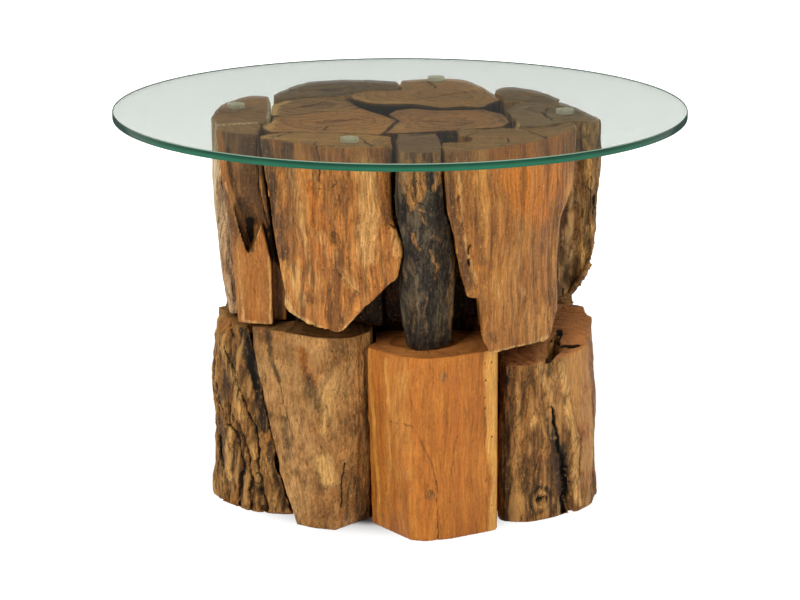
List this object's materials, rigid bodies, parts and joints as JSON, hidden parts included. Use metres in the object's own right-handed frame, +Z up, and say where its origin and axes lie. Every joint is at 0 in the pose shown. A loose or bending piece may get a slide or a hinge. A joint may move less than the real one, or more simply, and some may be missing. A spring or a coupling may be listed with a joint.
{
  "type": "coffee table",
  "caption": "Low round coffee table: a loose clear glass disc on soft pads over a two-tier base of hewn driftwood blocks joined round a core.",
  "frame": {"origin": "on the floor, under the centre of the glass", "axes": "+Z up, +X to the right and +Y away from someone facing the front, which has the smooth sawn block below"},
  "size_m": [0.5999, 0.6, 0.41],
  "materials": {
    "smooth_teak": "satin",
    "weathered_teak": "matte",
    "charred_wood": "matte",
    "peg_wood": "satin",
    "tenon_wood": "matte",
    "clear_glass": "polished",
    "clear_pad": "gloss"
  },
  "bodies": {
    "base": {"clear_pads": "clear_pad", "lower_back_block": "weathered_teak", "lower_back_left_block": "weathered_teak", "lower_back_right_block": "weathered_teak", "lower_core": "weathered_teak", "lower_gnarled_block": "weathered_teak", "lower_left_block": "weathered_teak", "lower_smooth_block": "smooth_teak", "lower_split_log": "weathered_teak", "lower_tapered_log": "smooth_teak", "lower_tenons": "tenon_wood", "round_pegs": "peg_wood", "tier_tenons": "tenon_wood", "upper_back_block": "smooth_teak", "upper_back_left_block": "weathered_teak", "upper_back_right_block": "weathered_teak", "upper_core_front": "smooth_teak", "upper_core_left": "weathered_teak", "upper_core_right": "smooth_teak", "upper_dark_post": "charred_wood", "upper_left_block": "weathered_teak", "upper_notched_block": "smooth_teak", "upper_pointed_slab": "smooth_teak", "upper_right_block": "weathered_teak", "upper_tenons": "tenon_wood", "upper_wide_slab": "smooth_teak"},
    "glass": {"glass_top": "clear_glass"}
  },
  "joints": [
    {"name": "glass_lift", "type": "slide", "parent": "base", "child": "glass", "axis": [0, 0, 1], "range_m": [0, 0.1]}
  ]
}
